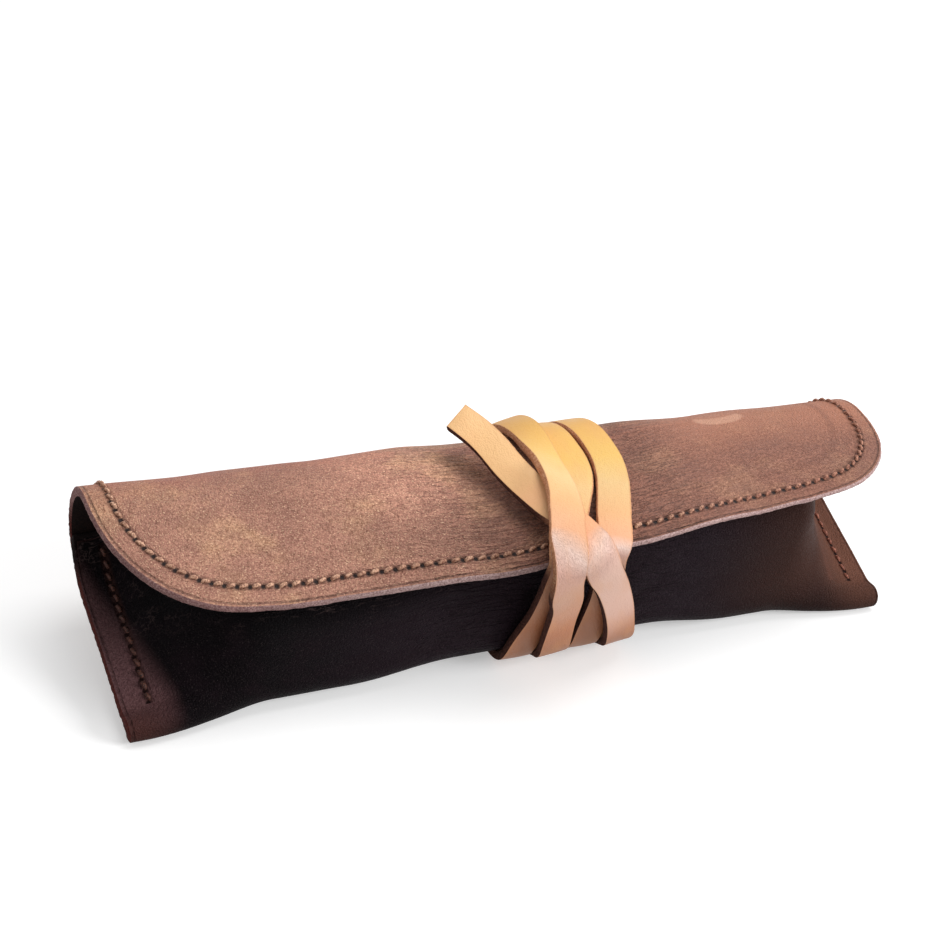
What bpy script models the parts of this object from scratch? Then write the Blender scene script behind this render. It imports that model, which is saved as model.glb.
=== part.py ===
"""Leather pencil case: one folded hide sewn up at both ends, a flap that rolls over the front, and a wound strap.

Lengths are in metres, +Z is up, +X runs along the case and +Y towards its back. The hide is drawn as a walk: every
station along the case has the direction that the leather takes after each length of it, in degrees from +Y towards
+Z, and the stations blend from a flat sewn fin at each end to a full round pocket between them.
"""

import math

import bmesh
import bpy
from mathutils import Vector
from mathutils.bvhtree import BVHTree

# The hide
case_length = 0.220
leather = 0.0024
layer_gap = 0.0004
end_flare = 0.0037
flare_reach = 0.060
front_length = 0.0645
back_length = 0.1337
split_length = 0.0625
split_gap = 0.0003

# The sewn fin at each end
fin_slope_left = 16.0
fin_slope_right = 13.4
fold_slack = 0.0008
fin_straight = 0.0378
fin_roll_radius = 0.0194
pinch_turn = 25.0
fin_width = 0.0035
fin_rise_width = 0.0336

# The round pocket between the fins
pocket_setback = 0.0031
pocket_fold_radius = 0.0083
underside_flat = 0.0252
pocket_roll_radius = 0.0232
shoulder_radius = 0.008
flap_clearance = 0.001
waist_place = 0.0048
waist_flat = 0.028
waist_ramp = 0.030
squeeze_depth = 0.00167
squeeze_flat = 0.014
squeeze_ramp = 0.049

# The flap
flap_corner_radius = 0.042
least_wall_slope = 4.0

# The flap's fall in degrees at shares of the half length from the middle. Its right half is lifted.
flap_slope_shares = ((-1.0, 17.3), (-0.545, 20.5), (0.0, 3.3), (0.22, 0.6), (0.5, 1.0), (0.75, -2.2), (1.0, -3.2))

# Sewing thread
thread_radius = 0.00045
thread_clearance = 0.0003
stitch_pitch = 0.0032
stitch_bump = 0.0003
seam_inset = 0.0072
seam_end_margin = 0.004
border_inset = 0.0057
border_start_margin = 0.003

# The strap
strap_width = 0.009
strap_thickness = 0.0022
strap_clearance = 0.0009
strap_pitch = 0.0029
strap_bevel = 0.0005
strap_rounding = 0.0042
edge_margin = 0.0008
girdle_reach = 0.028
floor_clearance = 0.0004
anchor_margin = 0.0022
anchor_length = 0.0075

# How finely the forms are divided
front_steps = 25
back_steps = 15
flap_steps = 19
middle_stations = 9
rise_stations = 6
corner_stations = 7
walk_steps_per_leather = 3
girdle_steps = 240
girdle_stations = 8
strap_steps_per_turn = 56
strap_gap_chunk = 8
millimetres_per_metre = 1000
thread_steps_per_stitch = 3

# The strap's way round the case. Each row has the turns from the start on the back, the place along the case in
# strap widths from the waist, and how many layers of strap lie under it.
strap_route_shares = (
    (0.02, -1.30, 0.0),
    (0.36, -1.30, 0.0),
    (0.395, -1.29, 0.0),
    (0.42, -1.07, 0.0),
    (0.44, -0.90, 0.0),
    (0.46, -0.84, 0.0),
    (0.49, -0.90, 0.0),
    (0.52, -0.98, 0.0),
    (0.56, -1.06, 0.0),
    (0.60, -0.96, 0.0),
    (0.64, -0.64, 0.0),
    (0.67, -0.13, 0.0),
    (0.69, 0.14, 0.0),
    (0.71, 0.37, 0.0),
    (0.76, 0.68, 0.0),
    (0.80, 0.78, 0.0),
    (0.86, 0.79, 0.0),
    (0.92, 0.66, 0.0),
    (0.98, 0.36, 0.0),
    (1.04, -0.04, 0.0),
    (1.10, -0.24, 0.0),
    (1.36, -0.24, 0.0),
    (1.40, -0.27, 0.9),
    (1.43, -0.49, 1.05),
    (1.46, -0.71, 1.1),
    (1.49, -0.91, 1.2),
    (1.52, -1.08, 1.6),
    (1.55, -1.24, 2.1),
    (1.575, -1.34, 2.4),
    (1.595, -1.28, 2.42),
    (1.62, -1.04, 2.38),
    (1.65, -0.75, 2.2),
    (1.68, -0.56, 2.15),
    (1.71, -0.43, 2.15),
    (1.74, -0.38, 2.1),
    (1.77, -0.44, 1.6),
    (1.80, -0.58, 0.9),
    (1.83, -0.70, 0.4),
    (1.86, -0.74, 0.0),
    (1.895, -0.68, 0.2),
    (1.92, -0.58, 0.7),
    (1.95, -0.40, 1.1),
    (2.03, 0.40, 1.1),
    (2.08, 0.76, 1.0),
    (2.12, 0.84, 0.6),
    (2.16, 0.84, 0.0),
    (2.36, 0.84, 0.0),
    (2.39, 0.86, 0.0),
    (2.42, 0.94, 0.0),
    (2.46, 0.93, 0.0),
    (2.50, 0.79, 0.0),
    (2.54, 0.50, 0.0),
    (2.57, 0.34, 0.0),
    (2.60, 0.52, 0.0),
    (2.63, 0.83, 0.0),
    (2.66, 1.11, 0.0),
    (2.70, 1.47, 0.0),
    (2.74, 1.70, 0.0),
    (2.78, 1.86, 0.0),
    (2.83, 1.89, 0.0),
    (2.90, 1.88, 0.0),
    (3.00, 1.92, 0.0),
    (3.20, 1.94, 0.0),
    (3.36, 1.93, 0.0),
    (3.40, 1.83, 0.9),
    (3.43, 1.48, 1.05),
    (3.46, 1.17, 1.1),
    (3.49, 0.89, 1.1),
    (3.52, 0.62, 1.1),
    (3.545, 0.34, 1.15),
    (3.57, -0.08, 1.2),
    (3.595, -0.44, 1.2),
    (3.62, -0.65, 1.1),
    (3.65, -0.83, 1.0),
    (3.69, -1.08, 1.0),
    (3.73, -1.40, 1.2),
    (3.77, -1.74, 1.9),
    (3.80, -2.06, 2.5),
    (3.824, -2.36, 2.95),
)

# How the strap leans over on its left edge, in degrees, after a number of turns: only its free end does
strap_lean = ((0.0, 0.0), (3.70, 0.0), (3.76, 28.0), (4.0, 28.0))

# Sizes that follow from those above
half_length = case_length / 2
sewn_thickness = 2 * leather + layer_gap
fin_fold_radius = sewn_thickness / 2 + fold_slack
waist_lift = strap_thickness + strap_clearance + floor_clearance
pocket_roll_place = pocket_setback + pocket_fold_radius + underside_flat


def blend(a, b, share):
    """The value between a and b at a share of the way."""
    return a + (b - a) * share


def ease(share):
    """A smooth step from 0 to 1."""
    share = min(max(share, 0.0), 1.0)
    return share * share * (3 - 2 * share)


def fullness(x):
    """0 on the sewn fins, 1 where the pocket is round."""
    return ease((half_length - fin_width - abs(x)) / fin_rise_width)


def lift(x):
    """How far the strap draws the underside off the table."""
    return waist_lift * ease((waist_flat + waist_ramp - abs(x - waist_place)) / waist_ramp)


def fin_slope(x):
    """The fin's rise in degrees, at the end that x is nearer to."""
    return fin_slope_left if x < 0 else fin_slope_right


def flap_slope(x):
    """The flap's fall in degrees."""
    return direction(flap_slope_shares, x / half_length)


def roll_radius(x):
    """The pocket's roll at the back, drawn in at the waist by the strap."""
    share = ease((squeeze_flat + squeeze_ramp - abs(x - waist_place)) / squeeze_ramp)
    return pocket_roll_radius - squeeze_depth * share


def direction(table, length):
    """The direction after a length of leather, from rows of length and degrees."""
    for (start, a), (end, b) in zip(table, table[1:]):
        if length <= end:
            return blend(a, b, (length - start) / (end - start)) if end > start else b
    return table[-1][1]


def back_tables(x):
    """The back panel and flap, from the bottom fold: for the fin and for the round pocket."""
    slope, fall = fin_slope(x), flap_slope(x)
    fin_turn = fin_roll_radius * math.radians(180 + fall - slope)
    pocket_turn = roll_radius(x) * math.radians(180 + fall)
    fin = ((0, slope), (fin_straight, slope), (fin_straight + fin_turn, 180 + fall))
    pocket = ((0, 0), (underside_flat, 0), (underside_flat + pocket_turn, 180 + fall))
    return fin, pocket


def wall_slope(x):
    """The slope in degrees of the front panel's top, which lies under the flap."""
    return max(flap_slope(x), least_wall_slope)


def wall_height(x):
    """The front wall's straight part, which brings the pocket's top close under the flap."""
    fall = math.radians(wall_slope(x))
    reach = pocket_roll_place - pocket_setback - shoulder_radius
    room = roll_radius(x) - leather - flap_clearance - shoulder_radius - reach * math.sin(fall)
    return room / math.cos(fall) + roll_radius(x) - pocket_fold_radius


def pinch_lengths():
    """Along the fin's front panel: the fold's end, the pinched run's end, where it lies flat, and how far along."""
    turn = math.radians(pinch_turn)
    shut = fin_fold_radius * (1 + math.cos(turn)) - fin_fold_radius * (1 - math.cos(turn)) - sewn_thickness
    run = shut / math.sin(turn)
    fold_end = fin_fold_radius * (math.pi + turn)
    flat = fold_end + run + fin_fold_radius * turn
    return fold_end, fold_end + run, flat, 2 * fin_fold_radius * math.sin(turn) + run * math.cos(turn)


def front_tables(x):
    """The front panel, from the bottom fold: for the fin, where it meets the back panel, and for the pocket."""
    slope = fin_slope(x)
    fold_end, run_end, flat, along = pinch_lengths()
    rise = flat + fin_straight - along
    half_turn = (fin_roll_radius - sewn_thickness) * math.pi
    fin = (
        (0, 180 + slope),
        (fold_end, slope - pinch_turn),
        (run_end, slope - pinch_turn),
        (flat, slope),
        (rise, slope),
        (rise + half_turn, slope + 180),
    )
    wall_start = pocket_fold_radius * math.pi / 2
    wall_end = wall_start + wall_height(x)
    shoulder = shoulder_radius * math.radians(90 - wall_slope(x))
    pocket = ((0, 180), (wall_start, 90), (wall_end, 90), (wall_end + shoulder, wall_slope(x)))
    return fin, pocket


def fold_point(x):
    """The place where the bottom fold meets the back panel."""
    full = fullness(x)
    radius = 1 / blend(1 / fin_fold_radius, 1 / pocket_fold_radius, full)
    slope = math.radians(blend(fin_slope(x), 0, full))
    y = pocket_setback * full + radius + radius * math.sin(slope)
    return Vector((x, y, lift(x) + radius - radius * math.cos(slope)))


def walk(x, lengths, back):
    """The hide's outer face at the rising lengths given from the bottom fold, as points with their way out."""
    fin, pocket = back_tables(x) if back else front_tables(x)
    full = fullness(x)
    place, done, found = fold_point(x), 0.0, []
    for length in lengths:
        pieces = max(1, math.ceil(abs(length - done) / leather * walk_steps_per_leather))
        step = (length - done) / pieces
        for piece in range(pieces):
            middle = done + step * (piece + 0.5)
            angle = math.radians(blend(direction(fin, middle), direction(pocket, middle), full))
            place = place + Vector((0, math.cos(angle), math.sin(angle))) * step
        done = length
        angle = math.radians(blend(direction(fin, length), direction(pocket, length), full))
        out = Vector((0, math.sin(angle), -math.cos(angle)))
        widened = x + math.copysign(end_flare, x) * min(length / flare_reach, 1) * abs(x) / half_length
        found.append((Vector((widened, place.y, place.z)), out if back else -out))
    return found


def flap_reach(x):
    """The length from the bottom fold to the flap's edge, which is cut to a round at both corners."""
    past = max(0.0, abs(x) - (half_length - flap_corner_radius))
    return back_length - flap_corner_radius + math.sqrt(max(0.0, flap_corner_radius**2 - past**2))


def material(name, colour, roughness):
    made = bpy.data.materials.new(name)
    made.use_nodes = True
    shader = made.node_tree.nodes["Principled BSDF"]
    shader.inputs["Base Color"].default_value = (*colour, 1)
    shader.inputs["Roughness"].default_value = roughness
    made.diffuse_color = (*colour, 1)
    return made


def add_object(name, made, finish):
    """A named object from a bmesh, with its faces turned outwards."""
    bmesh.ops.recalc_face_normals(made, faces=made.faces)
    mesh = bpy.data.meshes.new(name)
    made.to_mesh(mesh)
    made.free()
    mesh.shade_smooth()
    mesh.set_sharp_from_angle(angle=math.radians(50))
    mesh.materials.append(finish)
    added = bpy.data.objects.new(name, mesh)
    bpy.context.collection.objects.link(added)
    return added


def sheet(name, stations, finish):
    """A closed sheet of leather: each station is a line of outer points with their way out."""
    made = bmesh.new()
    outer = [[made.verts.new(point) for point, _ in line] for line in stations]
    inner = [[made.verts.new(point - out * leather) for point, out in line] for line in stations]
    for face in (outer, inner):
        for line, following in zip(face, face[1:]):
            for j in range(len(line) - 1):
                made.faces.new((line[j], line[j + 1], following[j + 1], following[j]))
    rims = [
        (outer[0], inner[0]),
        (outer[-1], inner[-1]),
        ([line[0] for line in outer], [line[0] for line in inner]),
        ([line[-1] for line in outer], [line[-1] for line in inner]),
    ]
    for top, under in rims:
        for j in range(len(top) - 1):
            made.faces.new((top[j], top[j + 1], under[j + 1], under[j]))
    return add_object(name, made, finish)


def mirrored(places):
    """Places along the case, from the left end to the right."""
    return [-x for x in places] + [x for x in reversed(places) if x > 0]


def pouch_places():
    rise_end = half_length - fin_width
    places = [half_length, rise_end, half_length - seam_inset]
    places += [rise_end - fin_rise_width * (k + 1) / rise_stations for k in range(rise_stations)]
    inner = places[-1]
    places += [inner * (1 - 2 * (k + 1) / (2 * middle_stations)) for k in range(middle_stations)]
    return mirrored(places)


def flap_places():
    centre = half_length - flap_corner_radius
    turns = [math.pi / 2 * k / corner_stations for k in range(corner_stations + 1)]
    places = [centre + flap_corner_radius * math.cos(turn) for turn in turns]
    places += [centre * (1 - (k + 1) / middle_stations) for k in range(middle_stations)]
    return mirrored(places)


def spread(start, end, steps):
    return [blend(start, end, k / steps) for k in range(steps + 1)]


def pouch_line(x):
    """One station of the pouch, from the front panel's mouth round the bottom fold to the split line."""
    front = walk(x, spread(0, front_length, front_steps)[1:], back=False)
    return front[::-1] + walk(x, spread(0, split_length, back_steps), back=True)


def flap_line(x):
    return walk(x, spread(split_length + split_gap, flap_reach(x), flap_steps), back=True)


def tube(name, points, radius, finish, closed=False):
    """A round thread along the points."""
    curve = bpy.data.curves.new(name, "CURVE")
    curve.dimensions = "3D"
    curve.bevel_depth = radius
    curve.bevel_resolution = 1
    curve.use_fill_caps = not closed
    line = curve.splines.new("POLY")
    line.points.add(len(points) - 1)
    line.use_cyclic_u = closed
    for place, point in zip(line.points, points):
        place.co = (*point, 1)
    curve.materials.append(finish)
    added = bpy.data.objects.new(name, curve)
    bpy.context.collection.objects.link(added)
    return added


def sewn_line(path):
    """A thread over the stitches of a path, which is a function of a share, and rises over each stitch."""
    fine = [path(k / girdle_steps) for k in range(girdle_steps + 1)]
    length = sum((b[0] - a[0]).length for a, b in zip(fine, fine[1:]))
    stitches = max(2, round(length / stitch_pitch))
    steps = stitches * thread_steps_per_stitch
    points = []
    for k in range(steps + 1):
        point, out = path(k / steps)
        bump = stitch_bump * (1 - abs(math.cos(math.pi * k / thread_steps_per_stitch)))
        points.append(point + out * (thread_radius + thread_clearance + bump))
    return points


def seam_path(side):
    """Up the fin's front panel, from where it lies flat on the back panel to just under the mouth."""
    start, end = pinch_lengths()[2], front_length - seam_end_margin

    def path(share):
        return walk(side * (half_length - seam_inset), [blend(start, end, share)], back=False)[0]

    return path


def border_path(share):
    """Round the flap, inside its cut edge: up from the left end of the split line, along, and down on the right."""
    radius = flap_corner_radius - border_inset
    centre = half_length - flap_corner_radius
    straight = back_length - flap_corner_radius - split_length - border_start_margin
    corner = radius * math.pi / 2
    length = share * (2 * straight + 2 * corner + 2 * centre)
    run = min(length, 2 * straight + 2 * corner + 2 * centre - length)
    side = -1 if run == length else 1
    if run <= straight:
        x, along = centre + radius, split_length + border_start_margin + run
    elif run <= straight + corner:
        turn = (run - straight) / radius
        x, along = centre + radius * math.cos(turn), back_length - flap_corner_radius + radius * math.sin(turn)
    else:
        x, along = centre + straight + corner - run, back_length - border_inset
    return walk(side * x, [along], back=True)[0]


def convex_outline(points):
    """The convex outline of points in the Y-Z plane, anticlockwise from the lowest."""
    points = sorted(set((round(p.y, 7), round(p.z, 7)) for p in points))

    def half(run):
        kept = []
        for p in run:
            while len(kept) > 1:
                (ay, az), (by, bz) = kept[-2], kept[-1]
                if (by - ay) * (p[1] - az) - (bz - az) * (p[0] - ay) > 0:
                    break
                kept.pop()
            kept.append(p)
        return kept[:-1]

    return [Vector((0, y, z)) for y, z in half(points) + half(points[::-1])]


def girdle(x):
    """The closed line that a taut strap's middle follows at a station: points, the way out at each, and its length.

    It starts at the rear and runs down, forwards under the case, up the front and back over the top.
    """
    front = walk(x, spread(0, front_length, front_steps), back=False)
    back = walk(x, spread(0, flap_reach(x), front_steps * 3), back=True)
    corners = [point for point, _ in front + back]
    edge, edge_out = back[-1]
    along = (edge - back[-2][0]).normalized()
    corners.append(edge + (edge_out + along) * edge_margin)
    corners.append(edge - edge_out * leather + along * edge_margin)
    sewn_at, sewn_out = walk(x, [back_length - border_inset], back=True)[0]
    corners.append(sewn_at + sewn_out * (thread_clearance + 2 * thread_radius + stitch_bump))
    outline = convex_outline(corners)[::-1]
    spacing = strap_clearance + strap_thickness / 2
    ring = []
    for before, at, after in zip(outline[-1:] + outline[:-1], outline, outline[1:] + outline[:1]):
        first, second = (at - before).normalized(), (after - at).normalized()
        for side in (first, (first + second).normalized(), second):
            ring.append(at + Vector((0, -side.z, side.y)) * spacing)
    even = evenly(ring, girdle_steps)
    start = max(range(girdle_steps), key=lambda k: even[k].y)
    even = even[start:] + even[:start]
    length = sum((b - a).length for a, b in zip(even, even[1:] + even[:1]))
    window = max(1, round(strap_rounding / 2 / length * girdle_steps))
    smooth = []
    for k in range(girdle_steps):
        near = [even[(k + j) % girdle_steps] for j in range(-window, window + 1)]
        smooth.append(sum(near, Vector()) / len(near))
    outs = []
    for k in range(girdle_steps):
        along = (smooth[(k + 1) % girdle_steps] - smooth[k - 1]).normalized()
        outs.append(Vector((0, -along.z, along.y)))
    return smooth, outs, length


def evenly(ring, steps):
    """Points at even lengths round a closed line."""
    closed = ring + ring[:1]
    lengths = [0.0]
    for a, b in zip(closed, closed[1:]):
        lengths.append(lengths[-1] + (b - a).length)
    found, j = [], 0
    for k in range(steps):
        wanted = lengths[-1] * k / steps
        while lengths[j + 1] < wanted:
            j += 1
        span = lengths[j + 1] - lengths[j]
        found.append(closed[j].lerp(closed[j + 1], (wanted - lengths[j]) / span if span else 0))
    return found


def girdles():
    """The lines that a taut strap follows, at even stations along the part of the case that it is wound on."""
    return [girdle(waist_place + x) for x in spread(-girdle_reach, girdle_reach, girdle_stations)]


def on_girdle(rings, turns, x, height):
    """A place on the strap's surface round the waist, a height out from the line that a taut strap follows."""
    place = (turns % 1) * girdle_steps
    k, share = int(place) % girdle_steps, place - int(place)
    station = min(max((x - waist_place + girdle_reach) / (2 * girdle_reach), 0.0), 1.0) * girdle_stations
    first = min(int(station), girdle_stations - 1)
    points, outs = [], []
    for ring_points, ring_outs, _ in rings[first:first + 2]:
        points.append(ring_points[k].lerp(ring_points[(k + 1) % girdle_steps], share))
        outs.append(ring_outs[k].lerp(ring_outs[(k + 1) % girdle_steps], share))
    point = points[0].lerp(points[1], station - first)
    out = outs[0].lerp(outs[1], station - first).normalized()
    return Vector((x, point.y, point.z)) + out * height


def turn_length(rings):
    """The length of one turn of the strap's line, at the middle station."""
    return rings[girdle_stations // 2][2]


def route_at(turns):
    """The strap's place along the case and its layers at a number of turns, on a smooth line through the route."""
    rows = strap_route_shares
    k = max(1, min(len(rows) - 1, sum(row[0] <= turns for row in rows)))
    a, b = rows[k - 1], rows[k]
    before, after = rows[max(k - 2, 0)], rows[min(k + 1, len(rows) - 1)]
    share = (turns - a[0]) / (b[0] - a[0])
    found = []
    for column in (1, 2):
        def slope(p, q, r):
            left, right = (q[column] - p[column], q[0] - p[0]), (r[column] - q[column], r[0] - q[0])
            if not left[1] or not right[1]:
                return 0.0
            if left[0] * right[0] <= 0:
                return 0.0
            return 2 / (left[1] / left[0] + right[1] / right[0])
        span = b[0] - a[0]
        first, second = slope(before, a, b) * span, slope(a, b, after) * span
        s2, s3 = share**2, share**3
        found.append(
            a[column] * (2 * s3 - 3 * s2 + 1)
            + first * (s3 - 2 * s2 + share)
            + b[column] * (3 * s2 - 2 * s3)
            + second * (s3 - s2)
        )
    return waist_place + found[0] * strap_width, found[1] * strap_pitch


def strap_sections(rings):
    """The strap's cross-sections along its way, each a ring of eight points."""
    start, end = strap_route_shares[0][0], strap_route_shares[-1][0]
    steps = round((end - start) * strap_steps_per_turn)
    wide, thick = strap_width / 2, strap_thickness / 2
    corners = (
        (wide, thick - strap_bevel), (wide - strap_bevel, thick),
        (strap_bevel - wide, thick), (-wide, thick - strap_bevel),
        (-wide, strap_bevel - thick), (strap_bevel - wide, -thick),
        (wide - strap_bevel, -thick), (wide, strap_bevel - thick),
    )
    nudge = (end - start) / steps / 2
    sections = []
    for k in range(steps + 1):
        turns = blend(start, end, k / steps)
        x, height = route_at(turns)
        x_before, _ = route_at(max(turns - nudge, start))
        x_after, _ = route_at(min(turns + nudge, end))
        round_it = (min(turns + nudge, end) - max(turns - nudge, start)) * turn_length(rings)
        slant = math.atan2(x_after - x_before, round_it)
        lean = math.radians(direction(strap_lean, turns))
        leant = [
            (across * math.cos(lean) - out * math.sin(lean), across * math.sin(lean) + out * math.cos(lean))
            for across, out in corners
        ]
        sections.append([
            on_girdle(
                rings,
                turns - across * math.sin(slant) / turn_length(rings),
                x + across * math.cos(slant),
                height + out,
            )
            for across, out in leant
        ])
    return sections


def band(name, sections, finish):
    made = bmesh.new()
    rings = [[made.verts.new(point) for point in section] for section in sections]
    for ring, following in zip(rings, rings[1:]):
        for j in range(len(ring)):
            k = (j + 1) % len(ring)
            made.faces.new((ring[j], ring[k], following[k], following[j]))
    made.faces.new(rings[0][::-1])
    made.faces.new(rings[-1])
    return add_object(name, made, finish)


def least_strap_gap(sections):
    """The least distance from the strap to a later or earlier stretch of itself."""
    sides = len(sections[0])
    least = strap_width
    for start in range(0, len(sections), strap_gap_chunk):
        near = range(start - strap_gap_chunk, start + 2 * strap_gap_chunk)
        points, faces = [p for section in sections for p in section], []
        for k in range(len(sections) - 1):
            if k in near or k + 1 in near:
                continue
            for j in range(sides):
                following = (j + 1) % sides
                a, b = k * sides + j, k * sides + following
                faces.append((a, b, b + sides, a + sides))
        tree = BVHTree.FromPolygons(points, faces)
        for section in sections[start:start + strap_gap_chunk]:
            for point in section:
                found = tree.find_nearest(point, least)
                if found[0] is not None:
                    least = min(least, found[3])
    return least


def anchor_points(rings):
    """A square of stitches that holds the strap's start down on the back."""
    start = strap_route_shares[0][0] + anchor_margin / turn_length(rings)
    end = start + anchor_length / turn_length(rings)
    x, _ = route_at(start)
    side = strap_width / 2 - anchor_margin
    height = strap_thickness / 2 + thread_clearance + thread_radius
    corners = [(start, -side), (end, -side), (end, side), (start, side)]
    points = []
    for (turns, across), (turns_after, across_after) in zip(corners, corners[1:] + corners[:1]):
        for k in range(thread_steps_per_stitch):
            share = k / thread_steps_per_stitch
            place = blend(turns, turns_after, share)
            points.append(on_girdle(rings, place, x + blend(across, across_after, share), height))
    return points


def corners_of(objects):
    """The lowest and highest corners of the objects as shown."""
    bpy.context.view_layer.update()
    shown = bpy.context.evaluated_depsgraph_get()
    points = []
    for piece in objects:
        evaluated = piece.evaluated_get(shown)
        points += [piece.matrix_world @ vertex.co for vertex in evaluated.to_mesh().vertices]
        evaluated.to_mesh_clear()
    low = Vector([min(p[k] for p in points) for k in range(3)])
    high = Vector([max(p[k] for p in points) for k in range(3)])
    return low, high


def main():
    for old in list(bpy.data.objects):
        bpy.data.objects.remove(old)
    hide = material("brown_leather", (0.16, 0.075, 0.05), 0.55)
    dark_hide = material("dark_brown_leather", (0.05, 0.025, 0.02), 0.5)
    tan = material("tan_strap_leather", (0.62, 0.35, 0.18), 0.45)
    thread = material("copper_thread", (0.45, 0.25, 0.16), 0.7)
    rings = girdles()
    sections = strap_sections(rings)
    case = [
        sheet("pouch", [pouch_line(x) for x in pouch_places()], dark_hide),
        tube("left_seam_thread", sewn_line(seam_path(-1)), thread_radius, thread),
        tube("right_seam_thread", sewn_line(seam_path(1)), thread_radius, thread),
        band("wrap_strap", sections, tan),
        tube("strap_anchor_thread", anchor_points(rings), thread_radius, thread, closed=True),
    ]
    opening = [
        sheet("flap", [flap_line(x) for x in flap_places()], hide),
        tube("flap_border_thread", sewn_line(border_path), thread_radius, thread),
    ]
    # The origin is below the middle of the whole case, where it rests
    low, high = corners_of(case + opening)
    shift = -Vector(((low.x + high.x) / 2, (low.y + high.y) / 2, low.z))
    at_rear = walk(half_length - fin_width - fin_rise_width, [split_length], back=True)[0][0]
    hinge_place = Vector((0, at_rear.y, at_rear.z)) + shift
    hinge_place.x = 0
    hinge = bpy.data.objects.new("flap_hinge", None)
    hinge.location = hinge_place
    bpy.context.collection.objects.link(hinge)
    for piece in case:
        piece.location = shift
    for piece in opening:
        piece.parent = hinge
        piece.location = shift - hinge_place
    print(f"least gap from the strap to itself: {least_strap_gap(sections) * millimetres_per_metre:.2f} mm")
    strap_length = sum((b[1] - a[1]).length for a, b in zip(sections, sections[1:]))
    print(f"strap length: {strap_length * millimetres_per_metre:.0f} mm")
    print("shift from the drawing's frame, in mm:", [round(v * millimetres_per_metre, 3) for v in shift])
    print("flap hinge, in mm:", [round(v * millimetres_per_metre, 3) for v in hinge_place])
    print("whole case, in mm:", [round(v * millimetres_per_metre, 2) for v in high - low])


main()
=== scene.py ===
"""A leather pencil case on its back, its flap rolled over the front and a tan strap wound round its waist."""
import math

import bpy
import numpy as np
from mathutils import Matrix, Vector, noise


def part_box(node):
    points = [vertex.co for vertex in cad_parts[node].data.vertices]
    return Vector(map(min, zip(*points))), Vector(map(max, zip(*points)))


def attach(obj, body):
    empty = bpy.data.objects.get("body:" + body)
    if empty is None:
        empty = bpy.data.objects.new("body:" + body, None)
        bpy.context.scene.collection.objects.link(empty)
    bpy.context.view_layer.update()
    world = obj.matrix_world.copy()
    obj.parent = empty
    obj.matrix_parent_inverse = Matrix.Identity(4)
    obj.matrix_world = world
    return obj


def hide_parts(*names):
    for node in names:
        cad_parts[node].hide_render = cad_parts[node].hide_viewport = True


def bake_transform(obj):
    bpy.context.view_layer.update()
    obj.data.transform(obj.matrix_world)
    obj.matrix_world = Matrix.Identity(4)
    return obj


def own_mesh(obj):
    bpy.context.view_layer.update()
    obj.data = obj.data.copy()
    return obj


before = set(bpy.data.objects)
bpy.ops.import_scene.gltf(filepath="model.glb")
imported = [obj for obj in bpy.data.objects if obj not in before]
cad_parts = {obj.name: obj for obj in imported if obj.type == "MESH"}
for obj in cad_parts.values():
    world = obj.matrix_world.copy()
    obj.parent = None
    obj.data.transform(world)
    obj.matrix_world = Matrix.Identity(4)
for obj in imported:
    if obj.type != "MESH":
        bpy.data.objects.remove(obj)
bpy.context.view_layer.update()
bpy.ops.object.select_all(action="DESELECT")

# The hide, as the frame's source draws it
case_length = 0.22
leather = 0.0024
layer_gap = 0.0004
end_flare = 0.0037
flare_reach = 0.06
front_length = 0.0645
back_length = 0.1337
split_length = 0.0625
fin_slope_left = 16
fin_slope_right = 13.4
fold_slack = 0.0008
fin_straight = 0.0378
fin_roll_radius = 0.0194
pinch_turn = 25
fin_width = 0.0035
fin_rise_width = 0.0336
pocket_setback = 0.0031
pocket_fold_radius = 0.0083
underside_flat = 0.0252
pocket_roll_radius = 0.0232
shoulder_radius = 0.008
flap_clearance = 0.001
waist_place = 0.0048
waist_flat = 0.028
waist_ramp = 0.03
squeeze_depth = 0.00167
squeeze_flat = 0.014
squeeze_ramp = 0.049
flap_corner_radius = 0.042
least_wall_slope = 4
flap_slope_shares = ((-1, 17.3), (-0.545, 20.5), (0, 3.3), (0.22, 0.6), (0.5, 1), (0.75, -2.2), (1, -3.2))

# Sewing
stitch_pitch = 0.0032
seam_inset = 0.0072
seam_end_margin = 0.004
border_inset = 0.0057
border_start_margin = 0.003
thread_clearance = 0.0003
thread_radius = 0.00045
stitch_bump = 0.0003

# The strap
strap_width = 0.009
strap_thickness = 0.0022
strap_clearance = 0.0007
strap_pitch = 0.0029
strap_rounding = 0.0042
edge_margin = 0.0006
girdle_reach = 0.028
waist_lift = 0.0022 + 0.0009 + 0.0004

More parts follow.
